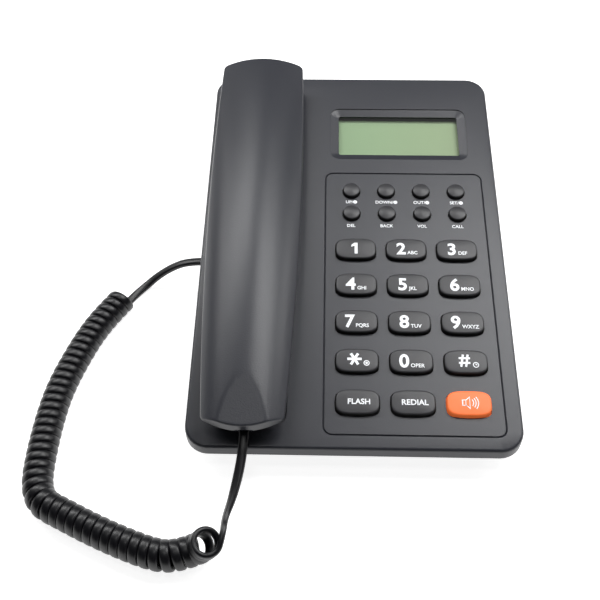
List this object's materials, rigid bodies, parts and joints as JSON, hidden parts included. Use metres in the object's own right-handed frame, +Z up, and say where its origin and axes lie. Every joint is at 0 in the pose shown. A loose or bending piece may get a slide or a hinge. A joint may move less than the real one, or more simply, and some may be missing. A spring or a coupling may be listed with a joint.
{
  "type": "corded desk telephone",
  "caption": "Tilted desk telephone base with a display, round and barrel keys, a handset in its cradle and a curly cord between them.",
  "frame": {"origin": "centre of the base's box on the surface that the feet stand on", "axes": "+X right, +Y to the rear of the base, +Z up"},
  "size_m": [0.2221, 0.2732, 0.0608],
  "materials": {
    "housing_plastic": "fine matte moulded texture",
    "key_plastic": "satin",
    "key_orange": "satin",
    "handset_plastic": "fine matte moulded texture",
    "cord_jacket": "satin extruded jacket",
    "plug_clear": "clear",
    "jack_plastic": "plain",
    "steel": "plain",
    "rubber": "matte",
    "membrane": "matte",
    "lens": "clear",
    "lcd": "satin polariser",
    "board": "solder mask",
    "component": "plain",
    "cell": "gloss",
    "contact": "plain",
    "cone": "paper",
    "magnet": "sintered",
    "capsule": "plain"
  },
  "bodies": {
    "base": {"base_jack": "jack_plastic", "base_lead": "cord_jacket", "base_plug": "plug_clear", "batteries": "cell", "battery_contacts": "contact", "board_components": "component", "board_screws": "steel", "bottom_housing": "housing_plastic", "curly_cord": "cord_jacket", "display_lens": "lens", "handset_lead": "cord_jacket", "handsfree_microphone": "capsule", "hook_spring": "steel", "hook_switch": "jack_plastic", "housing_screws": "steel", "keypad_membrane": "membrane", "lcd_backing": "jack_plastic", "lcd_glass": "lcd", "line_jack": "jack_plastic", "loudspeaker_basket": "steel", "loudspeaker_cone": "cone", "loudspeaker_magnet": "magnet", "main_board": "board", "rubber_feet": "rubber", "top_housing": "housing_plastic"},
    "handset": {"handset_outer_shell": "handset_plastic", "handset_inner_shell": "handset_plastic", "handset_screws": "steel", "receiver_capsule": "jack_plastic", "microphone_capsule": "capsule", "microphone_boot": "rubber", "handset_jack": "jack_plastic", "handset_weight": "steel", "handset_plug": "plug_clear"},
    "hook": {"hook_plunger": "housing_plastic"},
    "battery_door": {"battery_door": "housing_plastic"},
    "key_1": {"key_1": "key_plastic"},
    "key_2": {"key_2": "key_plastic"},
    "key_3": {"key_3": "key_plastic"},
    "key_4": {"key_4": "key_plastic"},
    "key_5": {"key_5": "key_plastic"},
    "key_6": {"key_6": "key_plastic"},
    "key_7": {"key_7": "key_plastic"},
    "key_8": {"key_8": "key_plastic"},
    "key_9": {"key_9": "key_plastic"},
    "key_star": {"key_star": "key_plastic"},
    "key_0": {"key_0": "key_plastic"},
    "key_hash": {"key_hash": "key_plastic"},
    "key_flash": {"key_flash": "key_plastic"},
    "key_redial": {"key_redial": "key_plastic"},
    "key_speaker": {"key_speaker": "key_orange"},
    "key_up": {"key_up": "key_plastic"},
    "key_down": {"key_down": "key_plastic"},
    "key_out": {"key_out": "key_plastic"},
    "key_set": {"key_set": "key_plastic"},
    "key_delete": {"key_delete": "key_plastic"},
    "key_back": {"key_back": "key_plastic"},
    "key_volume": {"key_volume": "key_plastic"},
    "key_call": {"key_call": "key_plastic"}
  },
  "joints": [
    {"name": "key_1_press", "type": "slide", "parent": "base", "child": "key_1", "axis": [0, 0.1219, -0.9925], "range_m": [0, 0.0015], "stiffness_N_per_m": 300, "springref_m": -0.001, "deforming": ["keypad_membrane"]},
    {"name": "key_2_press", "type": "slide", "parent": "base", "child": "key_2", "axis": [0, 0.1219, -0.9925], "range_m": [0, 0.0015], "stiffness_N_per_m": 300, "springref_m": -0.001, "deforming": ["keypad_membrane"]},
    {"name": "key_3_press", "type": "slide", "parent": "base", "child": "key_3", "axis": [0, 0.1219, -0.9925], "range_m": [0, 0.0015], "stiffness_N_per_m": 300, "springref_m": -0.001, "deforming": ["keypad_membrane"]},
    {"name": "key_4_press", "type": "slide", "parent": "base", "child": "key_4", "axis": [0, 0.1219, -0.9925], "range_m": [0, 0.0015], "stiffness_N_per_m": 300, "springref_m": -0.001, "deforming": ["keypad_membrane"]},
    {"name": "key_5_press", "type": "slide", "parent": "base", "child": "key_5", "axis": [0, 0.1219, -0.9925], "range_m": [0, 0.0015], "stiffness_N_per_m": 300, "springref_m": -0.001, "deforming": ["keypad_membrane"]},
    {"name": "key_6_press", "type": "slide", "parent": "base", "child": "key_6", "axis": [0, 0.1219, -0.9925], "range_m": [0, 0.0015], "stiffness_N_per_m": 300, "springref_m": -0.001, "deforming": ["keypad_membrane"]},
    {"name": "key_7_press", "type": "slide", "parent": "base", "child": "key_7", "axis": [0, 0.1219, -0.9925], "range_m": [0, 0.0015], "stiffness_N_per_m": 300, "springref_m": -0.001, "deforming": ["keypad_membrane"]},
    {"name": "key_8_press", "type": "slide", "parent": "base", "child": "key_8", "axis": [0, 0.1219, -0.9925], "range_m": [0, 0.0015], "stiffness_N_per_m": 300, "springref_m": -0.001, "deforming": ["keypad_membrane"]},
    {"name": "key_9_press", "type": "slide", "parent": "base", "child": "key_9", "axis": [0, 0.1219, -0.9925], "range_m": [0, 0.0015], "stiffness_N_per_m": 300, "springref_m": -0.001, "deforming": ["keypad_membrane"]},
    {"name": "key_star_press", "type": "slide", "parent": "base", "child": "key_star", "axis": [0, 0.1219, -0.9925], "range_m": [0, 0.0015], "stiffness_N_per_m": 300, "springref_m": -0.001, "deforming": ["keypad_membrane"]},
    {"name": "key_0_press", "type": "slide", "parent": "base", "child": "key_0", "axis": [0, 0.1219, -0.9925], "range_m": [0, 0.0015], "stiffness_N_per_m": 300, "springref_m": -0.001, "deforming": ["keypad_membrane"]},
    {"name": "key_hash_press", "type": "slide", "parent": "base", "child": "key_hash", "axis": [0, 0.1219, -0.9925], "range_m": [0, 0.0015], "stiffness_N_per_m": 300, "springref_m": -0.001, "deforming": ["keypad_membrane"]},
    {"name": "key_flash_press", "type": "slide", "parent": "base", "child": "key_flash", "axis": [0, 0.1219, -0.9925], "range_m": [0, 0.0015], "stiffness_N_per_m": 300, "springref_m": -0.001, "deforming": ["keypad_membrane"]},
    {"name": "key_redial_press", "type": "slide", "parent": "base", "child": "key_redial", "axis": [0, 0.1219, -0.9925], "range_m": [0, 0.0015], "stiffness_N_per_m": 300, "springref_m": -0.001, "deforming": ["keypad_membrane"]},
    {"name": "key_speaker_press", "type": "slide", "parent": "base", "child": "key_speaker", "axis": [0, 0.1219, -0.9925], "range_m": [0, 0.0015], "stiffness_N_per_m": 300, "springref_m": -0.001, "deforming": ["keypad_membrane"]},
    {"name": "key_up_press", "type": "slide", "parent": "base", "child": "key_up", "axis": [0, 0.1219, -0.9925], "range_m": [0, 0.0015], "stiffness_N_per_m": 300, "springref_m": -0.001, "deforming": ["keypad_membrane"]},
    {"name": "key_down_press", "type": "slide", "parent": "base", "child": "key_down", "axis": [0, 0.1219, -0.9925], "range_m": [0, 0.0015], "stiffness_N_per_m": 300, "springref_m": -0.001, "deforming": ["keypad_membrane"]},
    {"name": "key_out_press", "type": "slide", "parent": "base", "child": "key_out", "axis": [0, 0.1219, -0.9925], "range_m": [0, 0.0015], "stiffness_N_per_m": 300, "springref_m": -0.001, "deforming": ["keypad_membrane"]},
    {"name": "key_set_press", "type": "slide", "parent": "base", "child": "key_set", "axis": [0, 0.1219, -0.9925], "range_m": [0, 0.0015], "stiffness_N_per_m": 300, "springref_m": -0.001, "deforming": ["keypad_membrane"]},
    {"name": "key_delete_press", "type": "slide", "parent": "base", "child": "key_delete", "axis": [0, 0.1219, -0.9925], "range_m": [0, 0.0015], "stiffness_N_per_m": 300, "springref_m": -0.001, "deforming": ["keypad_membrane"]},
    {"name": "key_back_press", "type": "slide", "parent": "base", "child": "key_back", "axis": [0, 0.1219, -0.9925], "range_m": [0, 0.0015], "stiffness_N_per_m": 300, "springref_m": -0.001, "deforming": ["keypad_membrane"]},
    {"name": "key_volume_press", "type": "slide", "parent": "base", "child": "key_volume", "axis": [0, 0.1219, -0.9925], "range_m": [0, 0.0015], "stiffness_N_per_m": 300, "springref_m": -0.001, "deforming": ["keypad_membrane"]},
    {"name": "key_call_press", "type": "slide", "parent": "base", "child": "key_call", "axis": [0, 0.1219, -0.9925], "range_m": [0, 0.0015], "stiffness_N_per_m": 300, "springref_m": -0.001, "deforming": ["keypad_membrane"]},
    {"name": "handset_lift", "type": "slide", "parent": "base", "child": "handset", "axis": [0, -0.1219, 0.9925], "range_m": [0, 0.08], "deforming": ["handset_lead"]},
    {"name": "hook_rise", "type": "slide", "parent": "base", "child": "hook", "axis": [0, -0.1219, 0.9925], "range_m": [0, 0.005], "deforming": ["hook_spring"]},
    {"name": "battery_door_off", "type": "slide", "parent": "base", "child": "battery_door", "axis": [0, 0, -1], "range_m": [0, 0.03]}
  ],
  "couplings": [
    {"joint": "hook_rise", "follows": "handset_lift", "ratio": 0.0625}
  ]
}
